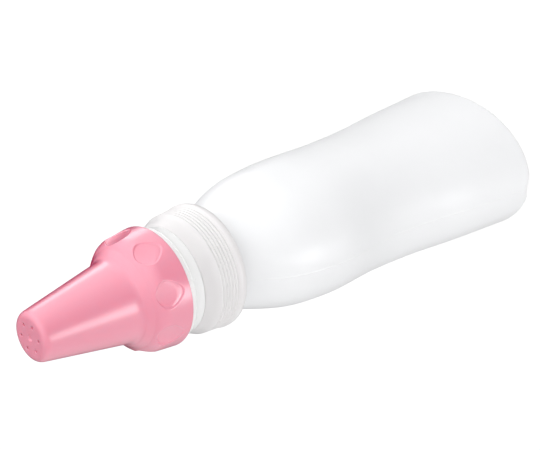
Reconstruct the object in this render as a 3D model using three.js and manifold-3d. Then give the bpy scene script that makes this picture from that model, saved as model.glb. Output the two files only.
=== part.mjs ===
// A hand-squeezed spray bottle: an oval blow-moulded bottle, a ribbed screw collar, a
// threaded nozzle seat snapped into the collar, a conical spray cap that screws onto the
// seat, and the two flat washers that seal the joints.
// Millimetres, +Z up, origin at the centre of the base, X along the wide side of the oval.
import * as THREE from 'three';
import { mergeVertices } from 'three/addons/utils/BufferGeometryUtils.js';
import Module from 'manifold-3d';

const wasm = await Module();
wasm.setup();

// ---------------------------------------------------------------- driving dimensions
const totalHeight = 200;
const roundSides = 40; // facets round every turned surface
const restGap = 0.1; // between two pieces that rest on each other

// Heights at which one piece meets the next
const collarFoot = 131.6;
const neckTop = 142.6;
const collarRoof = 145.5; // underside of the collar's top wall
const collarTop = 146.8;
const capFoot = 153.5;
const towerTop = 162;

// Both screw joints are single-start, right-handed, and share one thread section. An
// outer piece's ridge lies half a lead above its inner partner's, so that they interleave.
const threadLead = 4;
const thread = { embed: 0.5, footWidth: 1.7, crestWidth: 0.9, stepsPerTurn: 20, fadeTurns: 0.12 };

const neck = { outer: 16.2, bore: 14.6, threadHeight: 1.4, threadTurns: 1.4, threadTop: 139.5 };

// The bottle's outside: half widths along X and Y at the heights that shape it
const bodyStations = [
  { place: 'heel', wide: 34.7, deep: 25.4, height: 1.3 },
  { place: 'lower body', wide: 31.8, deep: 24.3, height: 30 },
  { place: 'below the waist', wide: 28.7, deep: 23.8, height: 49 },
  { place: 'waist', wide: 27.1, deep: 23.8, height: 67 },
  { place: 'chest', wide: 28.6, deep: 23.1, height: 96 },
  { place: 'upper chest', wide: 26.7, deep: 21.7, height: 109 },
  { place: 'shoulder', wide: 23.2, deep: 19.4, height: 118 },
  { place: 'shoulder top', wide: 18.6, deep: 17.4, height: 125.3 },
  { place: 'neck foot', wide: 16.2, deep: 16.2, height: 130.4 },
];
const bodySteps = 18;
const bodyWall = 1;
const base = {
  pushUp: 3,
  thickness: 2.3,
  ringInner: 0.88,
  ringOuter: 0.965,
  grooveRadius: 7.5, // of the rod-shaped cutter that leaves the pinch-off groove
  grooveDepth: 1.5,
};

const collar = {
  footRadius: 20.5,
  beadRadius: 21.16,
  beadHeight: 133.35,
  frontRadius: 20.25,
  frontHeight: 141.9,
  topRadius: 17.8,
  holeRadius: 14.4,
  recessRadius: 15.3, // clears the seat's snap bead inside the pressing ring
  bore: 18.1,
  grooves: 6,
  grooveDepth: 0.28,
  groovePitch: 1.2,
  firstGroove: 134.7,
  threadTurns: 1.4,
};

const seat = {
  bore: 12.4,
  sleeve: 14.2, // outside of the sleeve below and of the threaded tower above
  snapRadius: 14.9,
  skirtInner: 16.3,
  bandFoot: 17.8, // radius of the visible band where it meets the collar
  bandTop: 18.85,
  ringRadius: 19.1,
  ringFoot: 151.5,
  ringTop: 153.2,
  deckUnderside: 151.2,
  threadHeight: 1.3,
  threadTurns: 1.25,
  threadTop: 159.3,
};

const cap = {
  bore: 16,
  footRadius: 19.95,
  shoulderRadius: 19.2,
  shoulderHeight: 160.8,
  flangeRadius: 16.3, // where the rounded shoulder meets the sloping front of the flange
  flangeHeight: 165.6,
  rootRadius: 14.6, // where the sloping front meets the hollow fillet
  rootHeight: 167.6,
  filletTop: 170.2,
  tipRadius: 7.83,
  coneSlope: 0.184, // growth of the radius for each millimetre below the tip
  tipRound: 2,
  wall: 2,
  washerFace: 163.4,
  threadTurns: 1.25,
};

const scoops = {
  count: 8,
  firstAngle: 23.9, // degrees from +X
  lowPoint: { radius: 19.76, height: 156.1 }, // where the ramp runs out on the skirt
  highPoint: { radius: 17.3, height: 163.8 }, // the ramp at the scoop's widest
  rampRadius: 28,
  halfWidth: 5,
  topHeight: 165,
  topSag: 1.6, // how far the rounded front edge falls to its two corners
};

const sprayHoles = { count: 6, radius: 0.45, circle: 4.3, firstAngle: 11 };
const gateDimple = { radius: 0.9, depth: 0.5 };

const neckGasket = { inner: 13, outer: 17.7, thickness: 1.2 };
const capWasher = { inner: 12.2, outer: 15.6, thickness: 1.2 };
const gasketTop = neckTop + restGap + neckGasket.thickness;

// ---------------------------------------------------------------- geometry helpers
const radians = THREE.MathUtils.degToRad;

// A closed geometry as a solid, its faces turned outwards.
function toSolid(geometry) {
  geometry.deleteAttribute('normal');
  geometry.deleteAttribute('uv');
  const merged = mergeVertices(geometry, 1e-3);
  const vertProperties = merged.attributes.position.array;
  const triVerts = Uint32Array.from(merged.index.array);
  const solid = new wasm.Manifold(new wasm.Mesh({ numProp: 3, vertProperties, triVerts }));
  return solid.volume() > 0 ? solid : new wasm.Manifold(
    new wasm.Mesh({ numProp: 3, vertProperties, triVerts: triVerts.reverse() }));
}

function toGeometry(solid) {
  const { vertProperties, triVerts } = solid.getMesh();
  const geometry = new THREE.BufferGeometry();
  geometry.setAttribute('position', new THREE.BufferAttribute(vertProperties, 3));
  geometry.setIndex(new THREE.BufferAttribute(triVerts, 1));
  return geometry;
}

// An outline of [radius, height] pairs or of a Path's points, turned about Z.
function turned(outline) {
  const points = outline.map((point) => (
    Array.isArray(point) ? new THREE.Vector2(point[0], point[1]) : point));
  return new THREE.LatheGeometry(points, roundSides).rotateX(Math.PI / 2);
}

// An outline of { wide, deep, height } points, turned and then narrowed in Y to an oval.
function turnedOval(outline) {
  const geometry = turned(outline.map(({ wide, height }) => [wide, height]));
  const position = geometry.attributes.position;
  for (let i = 0; i < position.count; i += 1) {
    const { wide, deep } = outline[i % outline.length];
    if (wide > 0) position.setY(i, (position.getY(i) * deep) / wide);
  }
  return geometry;
}

// A screw ridge on a cylinder of the given radius, standing outwards (side 1) or inwards
// (side -1). It is a straight bar bent into a right-handed helix from its top end down,
// and its crest fades into the cylinder at both ends.
function screwRidge(radius, side, ridgeHeight, turns, topHeight) {
  const bar = new THREE.Shape([
    new THREE.Vector2(-thread.embed, -thread.footWidth / 2),
    new THREE.Vector2(0, -thread.footWidth / 2),
    new THREE.Vector2(ridgeHeight, -thread.crestWidth / 2),
    new THREE.Vector2(ridgeHeight, thread.crestWidth / 2),
    new THREE.Vector2(0, thread.footWidth / 2),
    new THREE.Vector2(-thread.embed, thread.footWidth / 2),
  ]);
  const steps = Math.round(turns * thread.stepsPerTurn);
  const geometry = new THREE.ExtrudeGeometry(bar, { depth: turns, steps, bevelEnabled: false });
  const position = geometry.attributes.position;
  for (let i = 0; i < position.count; i += 1) {
    const turn = position.getZ(i);
    const fade = Math.min(1, turn / thread.fadeTurns, (turns - turn) / thread.fadeTurns);
    const stand = position.getX(i) > 0 ? position.getX(i) * fade : position.getX(i);
    const reach = radius + side * stand;
    const angle = -2 * Math.PI * turn;
    const height = topHeight - threadLead * turn + position.getY(i);
    position.setXYZ(i, reach * Math.cos(angle), reach * Math.sin(angle), height);
  }
  return toSolid(geometry);
}

function washer({ inner, outer, thickness }, underside) {
  return turned([
    [inner, underside],
    [outer, underside],
    [outer, underside + thickness],
    [inner, underside + thickness],
    [inner, underside],
  ]);
}

// ---------------------------------------------------------------- the bottle
function bottleGeometry() {
  const curve = new THREE.CatmullRomCurve3(bodyStations.map(
    ({ wide, deep, height }) => new THREE.Vector3(wide, deep, height)), false, 'centripetal');
  const side = curve.getSpacedPoints(bodySteps)
    .map((point) => ({ wide: point.x, deep: point.y, height: point.z }));
  const foot = side[0];
  const footPoint = (share, height) => (
    { wide: foot.wide * share, deep: foot.deep * share, height });
  const axisPoint = (height) => ({ wide: 0, deep: 0, height });
  const round = (radius, height) => ({ wide: radius, deep: radius, height });

  const underside = [
    axisPoint(base.pushUp),
    footPoint(0.5, base.pushUp - 0.2),
    footPoint(0.78, 1.2),
    footPoint(base.ringInner, 0),
    footPoint(base.ringOuter, 0),
    footPoint(0.99, 0.4),
  ];
  const neckOutside = [
    round(neck.outer, neckTop - 0.4),
    round(neck.outer - 0.4, neckTop),
    round(neck.bore + 0.3, neckTop),
    round(neck.bore, neckTop - 0.3),
    round(neck.bore, side.at(-1).height - 1),
  ];
  // The wall thickens from the thin body to the stiff neck
  const neckWall = neck.outer - neck.bore;
  const wallStart = bodyStations.at(-3).height;
  const wallAt = (height) => (
    bodyWall + (neckWall - bodyWall) * THREE.MathUtils.smoothstep(height, wallStart, neckTop - 12));
  const inside = side.slice(2, -1).reverse().map(({ wide, deep, height }) => (
    { wide: wide - wallAt(height), deep: deep - wallAt(height), height }));
  const floor = [
    footPoint(0.955, base.thickness + 1.4),
    footPoint(0.9, base.thickness),
    footPoint(0.8, base.thickness + 0.9),
    footPoint(0.5, base.pushUp + base.thickness - 0.4),
    axisPoint(base.pushUp + base.thickness - 0.2),
  ];
  const shell = toSolid(turnedOval([...underside, ...side, ...neckOutside, ...inside, ...floor]));

  // Pinch-off groove of the mould across the base, along X
  const groove = new THREE.CylinderGeometry(
    base.grooveRadius, base.grooveRadius, 3 * foot.wide, roundSides);
  groove.rotateZ(Math.PI / 2).translate(0, 0, base.grooveDepth - base.grooveRadius);

  const ridge = screwRidge(neck.outer, 1, neck.threadHeight, neck.threadTurns, neck.threadTop);
  return toGeometry(shell.subtract(toSolid(groove)).add(ridge));
}

// ---------------------------------------------------------------- the screw collar
function collarGeometry() {
  const outline = new THREE.Path();
  outline.moveTo(collar.bore, collarFoot);
  outline.lineTo(collar.footRadius, collarFoot);
  outline.quadraticCurveTo(
    collar.beadRadius, collarFoot + 0.2, collar.beadRadius, collar.beadHeight);
  outline.lineTo(collar.beadRadius - 0.3, collar.beadHeight + 0.9);

  // Fine grip grooves round the slightly tapered side
  const taper = (collar.beadRadius - 0.15 - collar.frontRadius)
    / (collar.frontHeight - collar.beadHeight);
  const sideRadius = (height) => collar.frontRadius + taper * (collar.frontHeight - height);
  for (let i = 0; i < collar.grooves; i += 1) {
    const bottom = collar.firstGroove + i * collar.groovePitch;
    outline.lineTo(sideRadius(bottom) - collar.grooveDepth, bottom);
    outline.lineTo(sideRadius(bottom + 0.25), bottom + 0.25);
    outline.lineTo(sideRadius(bottom + 0.85), bottom + 0.85);
  }
  outline.lineTo(collar.frontRadius, collar.frontHeight - 0.3);
  outline.lineTo(collar.frontRadius - 0.15, collar.frontHeight);
  outline.lineTo(collar.topRadius + 0.1, collarTop - 0.3);
  outline.lineTo(collar.topRadius - 0.2, collarTop);
  outline.lineTo(collar.holeRadius, collarTop);
  outline.lineTo(collar.holeRadius, collarRoof);
  outline.lineTo(collar.recessRadius, collarRoof);
  outline.lineTo(collar.recessRadius, gasketTop + restGap);
  outline.lineTo(collar.bore, gasketTop + restGap);
  outline.closePath();

  const ridge = screwRidge(
    collar.bore, -1, neck.threadHeight, collar.threadTurns, neck.threadTop + threadLead / 2);
  return toGeometry(toSolid(turned(outline.getPoints(4))).add(ridge));
}

// ---------------------------------------------------------------- the nozzle seat
function seatGeometry() {
  const foot = gasketTop + restGap;
  const bandFoot = collarTop + restGap;
  const outline = new THREE.Path();
  outline.moveTo(seat.bore, foot);
  outline.lineTo(seat.snapRadius - 0.5, foot);
  outline.lineTo(seat.snapRadius, foot + 0.6);
  outline.lineTo(seat.snapRadius, collarRoof - 0.5);
  outline.lineTo(seat.sleeve, collarRoof - restGap);
  outline.lineTo(seat.sleeve, seat.deckUnderside);
  outline.lineTo(seat.skirtInner, seat.deckUnderside);
  outline.lineTo(seat.skirtInner, bandFoot);
  outline.lineTo(seat.bandFoot, bandFoot);
  outline.quadraticCurveTo(
    seat.bandFoot + 0.1, seat.ringFoot - 1.6, seat.bandTop, seat.ringFoot - 0.3);
  outline.lineTo(seat.bandTop - 0.15, seat.ringFoot);
  outline.lineTo(seat.ringRadius, seat.ringFoot + 0.2);
  outline.lineTo(seat.ringRadius, seat.ringTop - 0.3);
  outline.lineTo(seat.ringRadius - 0.3, seat.ringTop);
  outline.lineTo(seat.sleeve, seat.ringTop);
  outline.lineTo(seat.sleeve, towerTop - 0.4);
  outline.lineTo(seat.sleeve - 0.4, towerTop);
  outline.lineTo(seat.bore + 0.3, towerTop);
  outline.lineTo(seat.bore, towerTop - 0.3);
  outline.closePath();

  const ridge = screwRidge(seat.sleeve, 1, seat.threadHeight, seat.threadTurns, seat.threadTop);
  return toGeometry(toSolid(turned(outline.getPoints(5))).add(ridge));
}

// ---------------------------------------------------------------- the nozzle cap
const coneRadius = (height) => cap.tipRadius + cap.coneSlope * (totalHeight - height);

function capShell() {
  const tipInside = totalHeight - cap.wall - 0.2;
  const outline = new THREE.Path();
  outline.moveTo(0, totalHeight);
  outline.lineTo(cap.tipRadius - cap.tipRound, totalHeight);
  outline.quadraticCurveTo(cap.tipRadius, totalHeight,
    coneRadius(totalHeight - cap.tipRound), totalHeight - cap.tipRound);
  outline.lineTo(coneRadius(cap.filletTop), cap.filletTop);
  outline.quadraticCurveTo(
    coneRadius(cap.rootHeight + 0.7), cap.rootHeight + 0.7, cap.rootRadius, cap.rootHeight);
  outline.lineTo(cap.flangeRadius, cap.flangeHeight);
  outline.quadraticCurveTo(
    cap.shoulderRadius - 0.15, cap.flangeHeight - 2, cap.shoulderRadius, cap.shoulderHeight);
  outline.lineTo(cap.footRadius, capFoot + 0.4);
  outline.lineTo(cap.footRadius - 0.4, capFoot);
  outline.lineTo(cap.bore + 0.4, capFoot);
  outline.lineTo(cap.bore, capFoot + 0.4);
  outline.lineTo(cap.bore, cap.washerFace);
  outline.lineTo(coneRadius(cap.washerFace) - cap.wall, cap.washerFace);
  outline.lineTo(coneRadius(tipInside) - cap.wall - 0.6, tipInside);
  outline.lineTo(0, tipInside);
  return toSolid(turned(outline.getPoints(5)));
}

// A finger scoop's cutter, on the +X side: a shallow ramp that deepens towards the tip,
// kept inside a shield outline that is pointed below and rounded above.
function scoopCutter() {
  const { lowPoint, highPoint, rampRadius, halfWidth, topHeight, topSag } = scoops;
  const lean = Math.atan2(
    lowPoint.radius - highPoint.radius, highPoint.height - lowPoint.height);
  const ramp = new THREE.CylinderGeometry(rampRadius, rampRadius, 40, 2 * roundSides);
  ramp.rotateX(Math.PI / 2).translate(rampRadius, 0, 0).rotateY(-lean);
  ramp.translate(lowPoint.radius, 0, lowPoint.height);

  const margin = 1;
  const corner = topHeight - topSag;
  const outline = new THREE.Shape();
  outline.moveTo(0, lowPoint.height - margin);
  outline.quadraticCurveTo(halfWidth, corner - 5, halfWidth, corner - 0.8);
  outline.quadraticCurveTo(halfWidth, corner, halfWidth - 0.7, corner + 0.5);
  outline.quadraticCurveTo(0, topHeight + 0.7, 0.7 - halfWidth, corner + 0.5);
  outline.quadraticCurveTo(-halfWidth, corner, -halfWidth, corner - 0.8);
  outline.quadraticCurveTo(-halfWidth, corner - 5, 0, lowPoint.height - margin);
  const reach = 8;
  const prism = new THREE.ExtrudeGeometry(
    outline, { depth: reach, steps: 1, bevelEnabled: false, curveSegments: 4 });
  prism.rotateX(Math.PI / 2).rotateZ(Math.PI / 2).translate(highPoint.radius - 3, 0, 0);
  return toSolid(ramp).intersect(toSolid(prism));
}

function sprayHoleCutters() {
  const cutters = [];
  for (let i = 0; i < sprayHoles.count; i += 1) {
    const angle = radians(sprayHoles.firstAngle + (360 * i) / sprayHoles.count);
    const hole = new THREE.CylinderGeometry(
      sprayHoles.radius, sprayHoles.radius, 4 * cap.wall, 10);
    hole.rotateX(Math.PI / 2).translate(
      sprayHoles.circle * Math.cos(angle), sprayHoles.circle * Math.sin(angle), totalHeight);
    cutters.push(toSolid(hole));
  }
  const dimple = new THREE.CylinderGeometry(
    gateDimple.radius, gateDimple.radius / 2, 2 * gateDimple.depth, 12);
  cutters.push(toSolid(dimple.rotateX(Math.PI / 2).translate(0, 0, totalHeight)));
  return cutters;
}

function capGeometry() {
  let solid = capShell();
  const cutter = scoopCutter();
  for (let i = 0; i < scoops.count; i += 1) {
    const angle = scoops.firstAngle + (360 * i) / scoops.count;
    solid = solid.subtract(cutter.rotate([0, 0, angle]));
  }
  for (const hole of sprayHoleCutters()) solid = solid.subtract(hole);
  const ridge = screwRidge(
    cap.bore, -1, seat.threadHeight, cap.threadTurns, seat.threadTop + threadLead / 2);
  return toGeometry(solid.add(ridge));
}

// ---------------------------------------------------------------- materials and assembly
const plastic = (color, roughness) => (
  new THREE.MeshStandardMaterial({ color, roughness, metalness: 0 }));

const pieces = [
  ['bottle', bottleGeometry(), plastic(0xeff0f1, 0.42)],
  ['screw_collar', collarGeometry(), plastic(0xe6e4e4, 0.38)],
  ['neck_gasket', washer(neckGasket, neckTop + restGap), plastic(0xf2f2ee, 0.6)],
  ['nozzle_seat', seatGeometry(), plastic(0xfbfafb, 0.3)],
  ['cap_washer', washer(capWasher, towerTop + restGap), plastic(0xf2f2ee, 0.6)],
  ['nozzle_cap', capGeometry(), plastic(0xf297ae, 0.28)],
];

const sprayBottle = new THREE.Group();
for (const [name, geometry, material] of pieces) {
  const mesh = new THREE.Mesh(geometry, material);
  mesh.name = name;
  sprayBottle.add(mesh);
}

export default sprayBottle;
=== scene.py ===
"""Looks of the squeeze spray bottle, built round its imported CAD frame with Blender 4.5.

Every CAD node is replaced by a fine mesh of the same size: turned surfaces whose outlines
are made of lines and bends, with the screw threads, finger scoops, parting line and
pinch-off groove worked into the surface as small offsets.
"""

import math

import bmesh
import bpy
import numpy as np
from mathutils import Matrix, Vector


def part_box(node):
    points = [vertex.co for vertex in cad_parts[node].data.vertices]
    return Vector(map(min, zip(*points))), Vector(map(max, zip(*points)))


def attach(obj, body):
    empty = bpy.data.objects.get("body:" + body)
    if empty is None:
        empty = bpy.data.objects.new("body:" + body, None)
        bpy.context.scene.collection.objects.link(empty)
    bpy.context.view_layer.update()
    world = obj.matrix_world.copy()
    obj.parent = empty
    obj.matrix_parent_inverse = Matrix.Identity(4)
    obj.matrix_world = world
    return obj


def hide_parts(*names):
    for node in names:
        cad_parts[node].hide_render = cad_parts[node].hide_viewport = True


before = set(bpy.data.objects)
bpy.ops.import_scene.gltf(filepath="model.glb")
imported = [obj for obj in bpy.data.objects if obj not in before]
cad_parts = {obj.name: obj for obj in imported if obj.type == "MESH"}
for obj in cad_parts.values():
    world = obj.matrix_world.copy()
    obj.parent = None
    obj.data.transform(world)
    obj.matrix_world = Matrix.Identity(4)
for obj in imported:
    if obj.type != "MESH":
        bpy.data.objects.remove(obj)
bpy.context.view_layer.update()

MM = 0.001  # the sizes below are in millimetres, Blender's are in metres

# ------------------------------------------------------------------ sizes from the frame
def low_high(node):
    low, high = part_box(node)
    return low / MM, high / MM


bottle_high = low_high("bottle")[1]
collar_low, collar_high = low_high("screw_collar")
gasket_low, gasket_high = low_high("neck_gasket")
seat_low, seat_high = low_high("nozzle_seat")
washer_low, washer_high = low_high("cap_washer")
cap_low, cap_high = low_high("nozzle_cap")

# ------------------------------------------------------------------ driving dimensions
REST_GAP = 0.1  # between two pieces that rest on each other
THREAD_LEAD = 4.0
THREAD_FOOT, THREAD_CREST = 1.7, 0.9  # widths of the ridge
THREAD_FADE = 0.12  # turns over which the ridge rises at each end

# Half widths in X and Y of the bottle at the heights that shape it
BODY_STATIONS = (
    (bottle_high.x, bottle_high.y, 1.3),  # heel
    (31.8, 24.3, 30.0),
    (28.7, 23.8, 49.0),
    (27.1, 23.8, 67.0),  # waist
    (28.6, 23.1, 96.0),  # chest
    (26.7, 21.7, 109.0),
    (23.2, 19.4, 118.0),  # shoulder
    (18.6, 17.4, 125.3),
    (16.2, 16.2, 130.4),  # foot of the neck
)
NECK_RADIUS, NECK_BORE, NECK_THREAD_HEIGHT = 16.2, 14.6, 1.4
NECK_THREAD_TURNS, NECK_THREAD_TOP = 1.4, 139.5
BODY_WALL, WALL_THICKENS = 1.0, 109.0  # the wall, and the height from which it thickens
# Underside and inside floor, as (share of the heel's half widths, height, rounding)
UNDERSIDE = ((0, 3.0, 0), (0.5, 2.85, 0.2), (0.78, 1.25, 0.1), (0.88, 0, 0.05), (0.93, 0, 0.02))
INSIDE_FLOOR = ((0.962, 4.2, 0), (0.93, 2.35, 0.06), (0.8, 3.3, 0.1), (0.5, 5.0, 0.15), (0, 5.2, 0))
PARTING_RIDGE, PARTING_WIDTH = 0.1, 0.22
PARTING_FADE = (125, 130)  # heights between which the ridge runs out
PINCH_DEPTH, PINCH_HALF_WIDTH = 1.6, 4.4
PINCH_FADE = 9.0  # height at which the groove has run out
PINCH_RINGS = 6  # rings above the heel that the groove reaches

COLLAR_FRONT_RADIUS, COLLAR_FRONT_HEIGHT = 20.25, 141.9
COLLAR_TOP_RADIUS, COLLAR_HOLE, COLLAR_RECESS, COLLAR_BORE = 17.8, 14.4, 15.3, 18.1
COLLAR_FOOT_RADIUS, COLLAR_ROOF, COLLAR_BEAD_HEIGHT = 20.75, 145.5, 133.35
GRIP_GROOVES, GRIP_FIRST, GRIP_PITCH = 6, 134.95, 1.2
GRIP_DEPTH, GRIP_WIDTH = 0.3, 0.3
GASKET_HOLE, WASHER_HOLE = 13.0, 12.2  # radii

SEAT_BORE, SEAT_SLEEVE, SEAT_SNAP, SEAT_SKIRT = 12.4, 14.2, 14.9, 16.3
SEAT_BAND_FOOT, SEAT_BAND_TOP, SEAT_RING = 17.8, 18.85, 19.1
SEAT_RING_FOOT, SEAT_RING_TOP, SEAT_DECK = 151.5, 153.2, 151.2
SEAT_THREAD_HEIGHT, SEAT_THREAD_TURNS, SEAT_THREAD_TOP = 1.3, 1.25, 159.3

CAP_BORE, CAP_FOOT_RADIUS, CAP_WALL = 16.0, cap_high.x, 2.0
CAP_SHOULDER, CAP_FLANGE, CAP_ROOT = (19.2, 160.8), (16.3, 165.6), (14.6, 167.6)
CAP_FILLET_TOP, CAP_WASHER_FACE = 170.2, 163.4
TIP_RADIUS, CONE_SLOPE, TIP_ROUND = 7.83, 0.184, 2.0
TIP_HEIGHT = cap_high.z
DIMPLE_RIM, DIMPLE_FLOOR, DIMPLE_DEPTH = 1.05, 0.55, 0.5  # moulding mark in the tip

SCOOPS, SCOOP_ANGLE = 8, math.radians(23.9)
SCOOP_LOW, SCOOP_HIGH = (19.76, 156.1), (17.3, 163.8)
SCOOP_RAMP, SCOOP_STEP, SCOOP_WALL, SCOOP_CORNER = 28.0, 0.3, 0.5, 1.6
# Discs that bound a scoop on the unrolled skirt, as ((across, height), radius)
SCOOP_FRONT_DISC = ((0.0, 159.2), 5.8)
SCOOP_SIDE_DISC = ((5.53, 164.68), 10.9)

SPRAY_HOLES, SPRAY_RADIUS, SPRAY_CIRCLE, SPRAY_ANGLE = 6, 0.45, 4.3, math.radians(11)
SPRAY_SIDES = 24


# ------------------------------------------------------------------ outlines
def line(start, end, steps=6):
    """Points from start towards end, without end."""
    share = np.linspace(0, 1, steps, endpoint=False)[:, None]
    return np.array(start) * (1 - share) + np.array(end) * share


def bend(start, corner, end, steps=8):
    """A quadratic bend from start towards end, drawn to corner, without end."""
    s = np.linspace(0, 1, steps, endpoint=False)[:, None]
    return np.array(start) * (1 - s) ** 2 + np.array(corner) * 2 * s * (1 - s) + np.array(end) * s**2


def rounded(corners, steps=6, spread=8):
    """An outline through (radius, height, rounding) corners, each rounded by its own size."""
    points = []
    corners = [np.array(c, float) for c in corners]
    previous_end = None
    for i, corner in enumerate(corners):
        here, size = corner[:2], corner[2]
        if i in (0, len(corners) - 1) or size == 0:
            start = end = here
        else:
            back = corners[i - 1][:2] - here
            ahead = corners[i + 1][:2] - here
            start = here + back / np.linalg.norm(back) * min(size, np.linalg.norm(back) * 0.5)
            end = here + ahead / np.linalg.norm(ahead) * min(size, np.linalg.norm(ahead) * 0.5)
        if previous_end is not None:
            points.extend(line(previous_end, start, spread))
        if size > 0 and start is not end:
            points.extend(bend(start, here, end, steps))
        previous_end = end
    points.append(corners[-1][:2])
    return np.array(points)


def smooth_step(value, low, high):
    t = np.clip((value - low) / (high - low), 0, 1)
    return t * t * (3 - 2 * t)


def soft_lower(a, b, softness):
    """The lower of a and b, rounded where they cross."""
    h = np.clip(0.5 + 0.5 * (b - a) / softness, 0, 1)
    return b * (1 - h) + a * h - softness * h * (1 - h)


def thread_stand(angle, height, ridge_height, turns, top):
    """How far a right-handed screw ridge stands out of its cylinder at angle and height."""
    part = np.mod(-angle / (2 * math.pi), 1)
    whole = np.round((top - height) / THREAD_LEAD - part)
    turn = whole + part
    off = np.abs(height - (top - THREAD_LEAD * turn))
    fade = np.clip(np.minimum(turn, turns - turn) / THREAD_FADE, 0, 1)
    return ridge_height * fade * (1 - smooth_step(off, THREAD_CREST / 2, THREAD_FOOT / 2))


# ------------------------------------------------------------------ meshes
def skin(name, rings, closed):
    """A mesh through rings of points in millimetres. A closed one joins its last ring to
    its first; an open one starts and ends in a point on the axis."""
    count = rings.shape[1]
    mesh = bmesh.new()
    rows = []
    for i, ring in enumerate(rings):
        if not closed and i in (0, len(rings) - 1):
            rows.append([mesh.verts.new(ring.mean(0) * MM)] * count)
        else:
            rows.append([mesh.verts.new(point * MM) for point in ring])
    pairs = list(zip(rows, rows[1:]))
    if closed:
        pairs.append((rows[-1], rows[0]))
    for lower, upper in pairs:
        for j in range(count):
            k = (j + 1) % count
            corners = [lower[j], lower[k], upper[k], upper[j]]
            distinct = [v for n, v in enumerate(corners) if v not in corners[:n]]
            mesh.faces.new(distinct)
    bmesh.ops.recalc_face_normals(mesh, faces=mesh.faces)
    data = bpy.data.meshes.new(name)
    mesh.to_mesh(data)
    mesh.free()
    data.shade_smooth()
    piece = bpy.data.objects.new(name, data)
    bpy.context.scene.collection.objects.link(piece)
    return piece


def turned(name, outline, angles, radius_at=None, closed=True):
    """A turned surface. radius_at(radius, height, angle) may offset each point."""
    radius, height = outline[:, 0][:, None], outline[:, 1][:, None]
    angle = np.asarray(angles)[None, :]
    radius, height, angle = np.broadcast_arrays(radius, height, angle)
    if radius_at:
        radius = radius_at(radius, height, angle)
    rings = np.stack([radius * np.cos(angle), radius * np.sin(angle), height], -1)
    return skin(name, rings, closed)


def even_angles(count):
    return np.linspace(0, 2 * math.pi, count, endpoint=False)


def place(piece, body, node, material):
    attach(piece, body)
    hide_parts(node)
    piece.data.materials.append(material)


# ------------------------------------------------------------------ the bottle
def body_curve(heights):
    """Half widths in X and Y at the given heights, on a smooth curve through the stations."""
    stations = np.array(BODY_STATIONS)
    known, widths = stations[:, 2], stations[:, :2]
    gaps = np.diff(known)[:, None]
    slopes = np.diff(widths, axis=0) / gaps
    tangents = np.empty_like(widths)
    tangents[1:-1] = (slopes[:-1] * gaps[1:] + slopes[1:] * gaps[:-1]) / (gaps[:-1] + gaps[1:])
    tangents[0], tangents[-1] = slopes[0], slopes[-1]
    index = np.clip(np.searchsorted(known, heights, side="right") - 1, 0, len(known) - 2)
    gap = gaps[index]
    t = ((heights - known[index])[:, None]) / gap
    return (widths[index] * (2 * t**3 - 3 * t**2 + 1) + tangents[index] * gap * (t**3 - 2 * t**2 + t)
            + widths[index + 1] * (3 * t**2 - 2 * t**3) + tangents[index + 1] * gap * (t**3 - t**2))


def parting_angles():
    """Even angles with extra ones close to the parting line, which lies in the XZ plane."""
    near = np.array([0.0015, 0.004, 0.007, 0.011, 0.016, 0.024, 0.04, 0.06, 0.08, 0.1, 0.12, 0.145])
    even = even_angles(160)
    extra = np.concatenate([near, -near, math.pi + near, math.pi - near, [0, math.pi]])
    clear = [a for a in even if abs(math.remainder(a, math.pi)) > 0.155]
    return np.sort(np.mod(np.concatenate([clear, extra]), 2 * math.pi))


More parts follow.
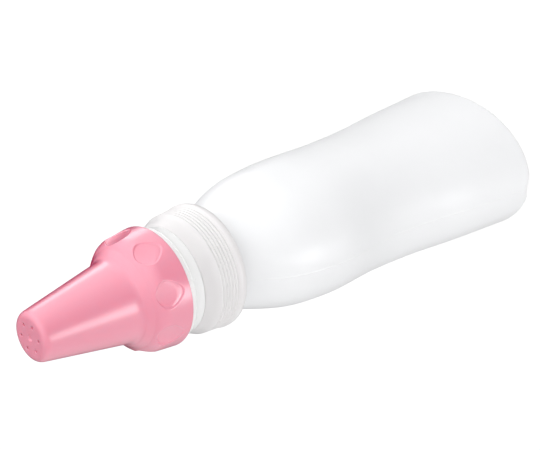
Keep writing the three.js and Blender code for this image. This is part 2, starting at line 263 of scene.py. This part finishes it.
def bottle():
    angles = parting_angles()
    neck_top = bottle_high.z
    foot_x, foot_y, heel = BODY_STATIONS[0]
    neck_foot = BODY_STATIONS[-1][2]
    rings = []

    def oval_ring(wide, deep, height):
        rings.append(np.stack([wide * np.cos(angles), deep * np.sin(angles),
                               np.full_like(angles, height)], -1))

    # Underside: push-up dome, then the ring it stands on and the rounded heel
    for share, height in rounded(UNDERSIDE, spread=5):
        oval_ring(foot_x * share, foot_y * share, height)
    for step in np.linspace(0, math.pi / 2, 8):
        inset = heel * (1 - math.sin(step))
        oval_ring(foot_x - inset, foot_y - inset, heel * (1 - math.cos(step)))
    outer_start = len(rings)
    heights = np.linspace(heel, neck_foot, 84)[1:]
    for (wide, deep), height in zip(body_curve(heights), heights):
        oval_ring(wide, deep, height)
    for height in np.arange(neck_foot + 0.3, neck_top - 0.5, 0.25):
        stand = thread_stand(angles, height, NECK_THREAD_HEIGHT, NECK_THREAD_TURNS, NECK_THREAD_TOP)
        oval_ring(NECK_RADIUS + stand, NECK_RADIUS + stand, height)
    outer_end = len(rings)
    lip = rounded([(NECK_RADIUS, neck_top - 0.45, 0), (NECK_RADIUS, neck_top, 0.4),
                   (NECK_BORE, neck_top, 0.4), (NECK_BORE, neck_foot - 0.6, 0)], spread=10)
    for radius, height in lip:
        oval_ring(radius, radius, height)
    # Inside wall and floor
    heights = np.linspace(neck_foot - 1.4, 4.5, 60)
    neck_wall = NECK_RADIUS - NECK_BORE
    walls = BODY_WALL + (neck_wall - BODY_WALL) * smooth_step(heights, WALL_THICKENS, neck_foot)
    for (wide, deep), height, wall in zip(body_curve(heights), heights, walls):
        oval_ring(wide - wall, deep - wall, height)
    for share, height in rounded(INSIDE_FLOOR, spread=5):
        oval_ring(foot_x * share, foot_y * share, height)
    rings = np.array(rings)

    # The mould's parting line stands out as a fine ridge on the outside
    outside = rings[outer_start:outer_end]
    ridge = PARTING_RIDGE * np.exp(-((outside[..., 1] / PARTING_WIDTH) ** 2))
    ridge = ridge * (1 - smooth_step(outside[..., 2], *PARTING_FADE))
    outside[..., 0] += np.sign(outside[..., 0]) * ridge
    # Its pinch-off groove crosses the underside and notches the rim at both ends
    under = rings[:outer_start + PINCH_RINGS]
    groove = PINCH_DEPTH * np.clip(1 - (under[..., 1] / PINCH_HALF_WIDTH) ** 2, 0, 1) ** 1.5
    under[..., 2] += groove * np.clip(1 - under[..., 2] / PINCH_FADE, 0, 1)
    return skin("bottle_body", rings, closed=False)


# ------------------------------------------------------------------ the screw collar
def collar():
    foot, top = collar_low.z, collar_high.z
    bead = collar_high.x
    press = gasket_high.z + REST_GAP
    taper = (bead - 0.35 - COLLAR_FRONT_RADIUS) / (COLLAR_FRONT_HEIGHT - COLLAR_BEAD_HEIGHT - 1)
    grip_end = COLLAR_FRONT_HEIGHT - 0.45
    grip = np.arange(COLLAR_BEAD_HEIGHT + 1.05, grip_end, 0.075)
    radius = COLLAR_FRONT_RADIUS + taper * (COLLAR_FRONT_HEIGHT - grip)
    for i in range(GRIP_GROOVES):
        off = grip - GRIP_FIRST - i * GRIP_PITCH
        radius = radius - GRIP_DEPTH * np.exp(-((off / GRIP_WIDTH) ** 2))
    lower = rounded([(COLLAR_BORE, foot, 0), (COLLAR_BORE + 0.5, foot, 0),
                     (COLLAR_FOOT_RADIUS, foot, 0.5), (bead, COLLAR_BEAD_HEIGHT - 0.5, 0.7),
                     (bead - 0.02, COLLAR_BEAD_HEIGHT + 0.6, 0.35),
                     (radius[0], grip[0], 0)], spread=6)[:-1]
    upper = rounded([(radius[-1], grip[-1], 0), (COLLAR_FRONT_RADIUS, COLLAR_FRONT_HEIGHT - 0.1, 0.25),
                     (COLLAR_TOP_RADIUS, top - 0.15, 0.15), (COLLAR_TOP_RADIUS - 0.3, top, 0.1),
                     (COLLAR_HOLE, top, 0.15), (COLLAR_HOLE, COLLAR_ROOF, 0.1),
                     (COLLAR_RECESS, COLLAR_ROOF, 0.2), (COLLAR_RECESS, press, 0.15),
                     (COLLAR_BORE, press, 0.2), (COLLAR_BORE, press - 0.6, 0)], spread=6)[1:-1]
    inner = line((COLLAR_BORE, press - 0.6), (COLLAR_BORE, foot), 50)
    outline = np.concatenate([lower, np.stack([radius, grip], -1), upper, inner])
    inside = len(outline) - len(inner)

    def radius_at(radius, height, angle):
        stand = thread_stand(angle, height, NECK_THREAD_HEIGHT, NECK_THREAD_TURNS,
                             NECK_THREAD_TOP + THREAD_LEAD / 2)
        radius = radius.copy()
        radius[inside:] -= stand[inside:]
        return radius

    return turned("collar_ring", outline, even_angles(192), radius_at)


# ------------------------------------------------------------------ the nozzle seat
def nozzle_seat():
    foot, tower_top = seat_low.z, seat_high.z
    band_foot = collar_high.z + REST_GAP
    lower = rounded([(SEAT_BORE, foot, 0), (SEAT_SNAP - 0.5, foot, 0.2), (SEAT_SNAP, foot + 0.6, 0.2),
                     (SEAT_SNAP, COLLAR_ROOF - 0.5, 0.2), (SEAT_SLEEVE, COLLAR_ROOF - REST_GAP, 0.1),
                     (SEAT_SLEEVE, SEAT_DECK, 0.3), (SEAT_SKIRT, SEAT_DECK, 0.3),
                     (SEAT_SKIRT, band_foot, 0.1), (SEAT_BAND_FOOT, band_foot, 0.15),
                     (SEAT_BAND_FOOT + 0.02, band_foot + 0.4, 0)], spread=6)[:-1]
    cove = bend((SEAT_BAND_FOOT + 0.02, band_foot + 0.4), (SEAT_BAND_FOOT + 0.15, SEAT_RING_FOOT - 1.6),
                (SEAT_BAND_TOP, SEAT_RING_FOOT - 0.35), 14)
    upper = rounded([(SEAT_BAND_TOP, SEAT_RING_FOOT - 0.35, 0),
                     (SEAT_BAND_TOP - 0.28, SEAT_RING_FOOT - 0.05, 0.12),
                     (SEAT_RING, SEAT_RING_FOOT + 0.15, 0.12), (SEAT_RING, SEAT_RING_TOP, 0.35),
                     (SEAT_SLEEVE, SEAT_RING_TOP, 0.25),
                     (SEAT_SLEEVE, SEAT_RING_TOP + 0.9, 0)], spread=6)[:-1]
    tower = line((SEAT_SLEEVE, SEAT_RING_TOP + 0.9), (SEAT_SLEEVE, tower_top - 0.9), 45)
    rim = rounded([(SEAT_SLEEVE, tower_top - 0.9, 0), (SEAT_SLEEVE, tower_top, 0.4),
                   (SEAT_BORE, tower_top, 0.35), (SEAT_BORE, tower_top - 1, 0)], spread=5)[:-1]
    bore = line((SEAT_BORE, tower_top - 1), (SEAT_BORE, foot), 10)
    outline = np.concatenate([lower, cove, upper, tower, rim, bore])
    start = len(lower) + len(cove) + len(upper)
    threaded = slice(start, start + len(tower))

    def radius_at(radius, height, angle):
        stand = thread_stand(angle, height, SEAT_THREAD_HEIGHT, SEAT_THREAD_TURNS, SEAT_THREAD_TOP)
        radius = radius.copy()
        radius[threaded] += stand[threaded]
        return radius

    return turned("seat_body", outline, even_angles(160), radius_at)


# ------------------------------------------------------------------ the nozzle cap
def cone_radius(height):
    return TIP_RADIUS + CONE_SLOPE * (TIP_HEIGHT - height)


def disc_gap(across, height, centre, radius):
    """Distance outside a disc drawn on the unrolled skirt."""
    return np.hypot(across - centre[0], height - centre[1]) - radius


def scooped(skirt, height, angle):
    """The skirt's radius with the finger scoops pressed in. Their outline is a rounded
    triangle between three discs, with its point towards the bottle."""
    pitch = 2 * math.pi / SCOOPS
    local = np.mod(angle - SCOOP_ANGLE + pitch / 2, pitch) - pitch / 2
    across = CAP_SHOULDER[0] * local
    gap = disc_gap(across, height, *SCOOP_FRONT_DISC)
    for side in (-1, 1):
        centre = (-side * SCOOP_SIDE_DISC[0][0], SCOOP_SIDE_DISC[0][1])
        gap = -soft_lower(-gap, -disc_gap(across, height, centre, SCOOP_SIDE_DISC[1]), SCOOP_CORNER)
    inside = 1 - smooth_step(gap, -SCOOP_WALL, 0)
    slope = (SCOOP_LOW[0] - SCOOP_HIGH[0]) / (SCOOP_HIGH[1] - SCOOP_LOW[1])
    centre = SCOOP_LOW[0] - slope * (height - SCOOP_LOW[1]) + SCOOP_RAMP
    floor = centre * np.cos(local) - np.sqrt(SCOOP_RAMP**2 - (centre * np.sin(local)) ** 2)
    floor = soft_lower(floor, skirt - SCOOP_STEP, 0.2)
    return skirt + (floor - skirt) * inside


def nozzle_cap():
    foot = cap_low.z
    skirt_line = line((CAP_FOOT_RADIUS, foot + 0.45), CAP_SHOULDER, 60)
    shoulder = bend(CAP_SHOULDER, (CAP_SHOULDER[0] - 0.15, CAP_FLANGE[1] - 2), CAP_FLANGE, 40)
    slope = line(CAP_FLANGE, CAP_ROOT, 10)
    fillet = bend(CAP_ROOT, (cone_radius(CAP_ROOT[1] + 0.7), CAP_ROOT[1] + 0.7),
                  (cone_radius(CAP_FILLET_TOP), CAP_FILLET_TOP), 14)
    shaft = line((cone_radius(CAP_FILLET_TOP), CAP_FILLET_TOP),
                 (cone_radius(TIP_HEIGHT - TIP_ROUND), TIP_HEIGHT - TIP_ROUND), 16)
    nose = bend((cone_radius(TIP_HEIGHT - TIP_ROUND), TIP_HEIGHT - TIP_ROUND), (TIP_RADIUS, TIP_HEIGHT),
                (TIP_RADIUS - TIP_ROUND, TIP_HEIGHT), 12)
    face = rounded([(TIP_RADIUS - TIP_ROUND, TIP_HEIGHT, 0), (DIMPLE_RIM, TIP_HEIGHT, 0.2),
                    (DIMPLE_FLOOR, TIP_HEIGHT - DIMPLE_DEPTH, 0.2),
                    (0, TIP_HEIGHT - DIMPLE_DEPTH, 0)], spread=6)
    outer = np.concatenate([skirt_line, shoulder, slope, fillet, shaft, nose, face])[::-1]
    tip_inside = TIP_HEIGHT - CAP_WALL - 0.2
    edge = rounded([(CAP_FOOT_RADIUS, foot + 0.45, 0), (CAP_FOOT_RADIUS, foot, 0.35),
                    (CAP_BORE, foot, 0.4), (CAP_BORE, foot + 0.8, 0)], spread=5)[1:-1]
    bore = line((CAP_BORE, foot + 0.8), (CAP_BORE, CAP_WASHER_FACE - 0.4), 50)
    inner = rounded([(CAP_BORE, CAP_WASHER_FACE - 0.4, 0), (CAP_BORE, CAP_WASHER_FACE, 0.2),
                     (cone_radius(CAP_WASHER_FACE) - CAP_WALL, CAP_WASHER_FACE, 0.2),
                     (cone_radius(tip_inside) - CAP_WALL - 0.6, tip_inside, 0.8),
                     (0, tip_inside, 0)], spread=8)
    outline = np.concatenate([outer, edge, bore, inner])
    skirt = slice(len(face), len(outer))
    threaded = slice(len(outer) + len(edge), len(outer) + len(edge) + len(bore))

    def radius_at(radius, height, angle):
        stand = thread_stand(angle, height, SEAT_THREAD_HEIGHT, SEAT_THREAD_TURNS,
                             SEAT_THREAD_TOP + THREAD_LEAD / 2)
        cut = np.where(height < CAP_ROOT[1], scooped(radius, height, angle), radius)
        radius = radius.copy()
        radius[skirt] = cut[skirt]
        radius[threaded] -= stand[threaded]
        return radius

    cap = turned("nozzle_cone", outline, even_angles(640), radius_at, closed=False)
    drill(cap)
    return cap


def drill(cap):
    """Cuts the spray holes through the tip, each slightly flared at its mouth."""
    cutter_mesh = bmesh.new()
    for i in range(SPRAY_HOLES):
        angle = SPRAY_ANGLE + 2 * math.pi * i / SPRAY_HOLES
        centre = (SPRAY_CIRCLE * math.cos(angle), SPRAY_CIRCLE * math.sin(angle))
        # Heights, and the hole's radius there as a share of its usual one
        levels = [(TIP_HEIGHT - 2 * CAP_WALL, 0.9), (TIP_HEIGHT - 0.35, 1.0),
                  (TIP_HEIGHT - 0.12, 1.1), (TIP_HEIGHT + 0.2, 1.6)]
        loops = []
        for height, share in levels:
            loops.append([cutter_mesh.verts.new((
                (centre[0] + SPRAY_RADIUS * share * math.cos(a)) * MM,
                (centre[1] + SPRAY_RADIUS * share * math.sin(a)) * MM, height * MM))
                for a in even_angles(SPRAY_SIDES)])
        for lower, upper in zip(loops, loops[1:]):
            for j in range(SPRAY_SIDES):
                k = (j + 1) % SPRAY_SIDES
                cutter_mesh.faces.new([lower[j], lower[k], upper[k], upper[j]])
        cutter_mesh.faces.new(loops[0][::-1])
        cutter_mesh.faces.new(loops[-1])
    data = bpy.data.meshes.new("spray_hole_cutter")
    cutter_mesh.to_mesh(data)
    cutter_mesh.free()
    cutter = bpy.data.objects.new("spray_hole_cutter", data)
    bpy.context.scene.collection.objects.link(cutter)
    boolean = cap.modifiers.new("spray holes", "BOOLEAN")
    boolean.object, boolean.operation, boolean.solver = cutter, "DIFFERENCE", "EXACT"
    evaluated = cap.evaluated_get(bpy.context.evaluated_depsgraph_get())
    cut = bpy.data.meshes.new_from_object(evaluated)
    cap.modifiers.clear()
    cap.data = cut
    bpy.data.objects.remove(cutter)


# ------------------------------------------------------------------ the washers
def flat_ring(name, low, high, inner):
    outline = rounded([(inner, (low.z + high.z) / 2, 0), (inner, low.z, 0.2), (high.x, low.z, 0.25),
                       (high.x, high.z, 0.25), (inner, high.z, 0.2), (inner, (low.z + high.z) / 2, 0)],
                      spread=4)[:-1]
    return turned(name, outline, even_angles(96))


# ------------------------------------------------------------------ materials
CLOUD_SIZE, SMEAR_SIZE, GRAIN_HEIGHT = 14, 5, 0.05  # millimetres
GLOSS_SPREAD, COAT_ROUGHNESS, PLASTIC_IOR = 0.05, 0.3, 1.5


def plastic(name, color, roughness, scatter, scatter_size, grain, radius=(1, 1, 1),
            grain_size=0.4, cloud=0.02, coat=0.0):
    """A moulded plastic: slight cloudiness of colour, uneven gloss and a fine surface grain.
    scatter_size is in metres, grain_size in millimetres."""
    material = bpy.data.materials.new(name)
    material.use_nodes = True
    nodes, links = material.node_tree.nodes, material.node_tree.links
    shader = nodes["Principled BSDF"]
    shader.inputs["IOR"].default_value = PLASTIC_IOR
    shader.inputs["Subsurface Weight"].default_value = scatter
    shader.inputs["Subsurface Radius"].default_value = radius
    shader.inputs["Subsurface Scale"].default_value = scatter_size
    shader.inputs["Coat Weight"].default_value = coat
    shader.inputs["Coat Roughness"].default_value = COAT_ROUGHNESS
    place_of = nodes.new("ShaderNodeTexCoord")

    def noise(size, detail):
        texture = nodes.new("ShaderNodeTexNoise")
        texture.inputs["Scale"].default_value = 1 / (size * MM)
        texture.inputs["Detail"].default_value = detail
        links.new(place_of.outputs["Object"], texture.inputs["Vector"])
        return texture

    clouds = noise(CLOUD_SIZE, 3)
    tint = nodes.new("ShaderNodeMix")
    tint.data_type = "RGBA"
    tint.inputs["A"].default_value = (*[max(c * (1 - cloud), 0) for c in color], 1)
    tint.inputs["B"].default_value = (*[min(c * (1 + cloud), 1) for c in color], 1)
    links.new(clouds.outputs["Fac"], tint.inputs["Factor"])
    links.new(tint.outputs["Result"], shader.inputs["Base Color"])

    smears = noise(SMEAR_SIZE, 4)
    gloss = nodes.new("ShaderNodeMapRange")
    gloss.inputs["To Min"].default_value = roughness - GLOSS_SPREAD
    gloss.inputs["To Max"].default_value = roughness + GLOSS_SPREAD
    links.new(smears.outputs["Fac"], gloss.inputs["Value"])
    links.new(gloss.outputs["Result"], shader.inputs["Roughness"])

    fine = noise(grain_size, 2)
    bump = nodes.new("ShaderNodeBump")
    bump.inputs["Strength"].default_value = grain
    bump.inputs["Distance"].default_value = GRAIN_HEIGHT * MM
    links.new(fine.outputs["Fac"], bump.inputs["Height"])
    links.new(bump.outputs["Normal"], shader.inputs["Normal"])
    return material


# ------------------------------------------------------------------ camera and studio
STAGE_RADIUS, STAGE_HEIGHT = 6, 6  # metres
FLOOR_TONE, FLOOR_GLOW = 0.25, 0.85  # mostly its own light, so that shadows on it stay faint
WORLD_LEVEL = 0.54
# Zones of the surroundings: azimuth and elevation of the middle, the cosines from it at which
# the zone starts and is full, and the brightness it adds
WORLD_ZONES = (
    (103, 26, 0.1, 1.0, 1.4),  # large panel above
    (52, -14, 0.5, 0.95, -0.74),  # dark room on the open side
    (-72, -15, 0.25, 1.0, 0.5),  # low panel at the side
    (216, -60, 0.2, 0.85, -0.54),  # dark screen behind and below
    (196, 5, 0.25, 0.95, -0.4),  # dark screen beside the far side
)


def look_from(azimuth, elevation, roll, distance, aim, lens):
    """A camera looking at aim. Azimuth 0 looks along +Y and 90 along -X."""
    a, e = math.radians(azimuth), math.radians(elevation)
    back = Vector((math.sin(a) * math.cos(e), -math.cos(a) * math.cos(e), math.sin(e)))
    data = bpy.data.cameras.new("camera")
    data.lens = lens
    data.clip_start, data.clip_end = 0.01, 20
    camera = bpy.data.objects.new("camera", data)
    turn = (-back).to_track_quat("-Z", "Y").to_matrix() @ Matrix.Rotation(math.radians(roll), 3, "Z")
    camera.matrix_world = Matrix.Translation(Vector(aim) + back * distance) @ turn.to_4x4()
    bpy.context.scene.collection.objects.link(camera)
    bpy.context.scene.camera = camera


def softbox(name, azimuth, elevation, distance, size, power, length=None):
    """A flat area light that the camera doesn't see, aimed at the middle of the object. Azimuth
    is measured from +X towards +Y, and length runs along the object's axis."""
    middle = Vector((0, 0, TIP_HEIGHT * MM / 2))
    towards = heading(azimuth, elevation)
    data = bpy.data.lights.new(name, "AREA")
    data.shape, data.size, data.size_y, data.energy = "RECTANGLE", size, length or size, power
    light = bpy.data.objects.new(name, data)
    light.location = middle + towards * distance
    light.rotation_mode = "QUATERNION"
    light.rotation_quaternion = (-towards).to_track_quat("-Z", "Y")
    light.visible_camera = False
    bpy.context.scene.collection.objects.link(light)


def heading(azimuth, elevation):
    """A unit vector. Azimuth is measured from +X towards +Y, elevation from the floor up."""
    a, e = math.radians(azimuth), math.radians(elevation)
    return Vector((math.cos(a) * math.cos(e), math.sin(a) * math.cos(e), math.sin(e)))


def studio_world():
    """White surroundings, made of a plain level and a few soft zones added to it."""
    world = bpy.data.worlds.new("studio")
    world.use_nodes = True
    nodes, links = world.node_tree.nodes, world.node_tree.links
    direction = nodes.new("ShaderNodeTexCoord")
    total = None
    for azimuth, elevation, edge, middle, amount in WORLD_ZONES:
        along = nodes.new("ShaderNodeVectorMath")
        along.operation = "DOT_PRODUCT"
        along.inputs[1].default_value = heading(azimuth, elevation)
        links.new(direction.outputs["Generated"], along.inputs[0])
        zone = nodes.new("ShaderNodeMapRange")
        zone.interpolation_type = "SMOOTHSTEP"
        zone.inputs["From Min"].default_value = edge
        zone.inputs["From Max"].default_value = middle
        zone.inputs["To Max"].default_value = amount
        links.new(along.outputs["Value"], zone.inputs["Value"])
        add = nodes.new("ShaderNodeMath")
        add.inputs[0].default_value = WORLD_LEVEL
        if total:
            links.new(total, add.inputs[0])
        links.new(zone.outputs["Result"], add.inputs[1])
        total = add.outputs["Value"]
    nodes["Background"].inputs["Color"].default_value = (1, 1, 1, 1)
    links.new(total, nodes["Background"].inputs["Strength"])
    bpy.context.scene.world = world


def studio():
    scene = bpy.context.scene
    scene.view_settings.view_transform = "Standard"
    studio_world()
    softbox("upper_softbox", 152, -20, 0.9, 0.24, 1.1, length=0.36)
    softbox("side_softbox", 4, -15, 0.9, 0.3, 3.2, length=0.4)

    # A wide drum: its bottom is the floor and its wall hides the horizon from a low camera
    floor_mesh = bmesh.new()
    bmesh.ops.create_cone(floor_mesh, cap_ends=True, segments=48, depth=STAGE_HEIGHT,
                          radius1=STAGE_RADIUS, radius2=STAGE_RADIUS,
                          matrix=Matrix.Translation((0, 0, STAGE_HEIGHT / 2)))
    data = bpy.data.meshes.new("floor")
    floor_mesh.to_mesh(data)
    floor_mesh.free()
    floor = bpy.data.objects.new("floor", data)
    floor.visible_glossy = floor.visible_diffuse = floor.visible_shadow = False
    scene.collection.objects.link(floor)
    pale = bpy.data.materials.new("pale_floor")
    pale.use_nodes = True
    shader = pale.node_tree.nodes["Principled BSDF"]
    shader.inputs["Base Color"].default_value = (FLOOR_TONE, FLOOR_TONE, FLOOR_TONE, 1)
    shader.inputs["Roughness"].default_value = 0.9
    shader.inputs["Emission Color"].default_value = (1, 1, 1, 1)
    shader.inputs["Emission Strength"].default_value = FLOOR_GLOW
    data.materials.append(pale)


# ------------------------------------------------------------------ assembly
look_from(azimuth=126.4, elevation=39.4, roll=-112.6, distance=0.462,
          aim=(-0.0021, 0.0029, 0.0994), lens=90.6)
studio()

milky = plastic("milky_polyethylene", (0.9, 0.905, 0.918), 0.39,
                scatter=0.4, scatter_size=0.0006, grain=0.15, grain_size=0.5, cloud=0.01)
# Grey natural polypropylene in its own tone. The faint pink in its colour is painted reflected light:
# the pink cap's colour bleeding onto the collar.
natural = plastic("natural_polypropylene_and_painted_pink_bleed", (0.825, 0.803, 0.808), 0.4,
                  scatter=0.6, scatter_size=0.004, grain=0.06)
white = plastic("white_polyethylene", (0.98, 0.98, 0.98), 0.3,
                scatter=0.3, scatter_size=0.002, grain=0.04)
pink = plastic("pink_polyethylene", (0.9, 0.315, 0.42), 0.36, coat=0.9,
               scatter=0.3, scatter_size=0.003, radius=(1, 0.35, 0.35), grain=0.05, grain_size=0.9)
silicone = plastic("silicone", (0.82, 0.82, 0.79), 0.5, scatter=0.5, scatter_size=0.003, grain=0.08)

place(bottle(), "bottle", "bottle", milky)
place(collar(), "collar", "screw_collar", natural)
place(flat_ring("neck_gasket_ring", gasket_low, gasket_high, GASKET_HOLE),
      "gasket", "neck_gasket", silicone)
place(nozzle_seat(), "collar", "nozzle_seat", white)
place(flat_ring("cap_washer_ring", washer_low, washer_high, WASHER_HOLE),
      "washer", "cap_washer", silicone)
place(nozzle_cap(), "cap", "nozzle_cap", pink)
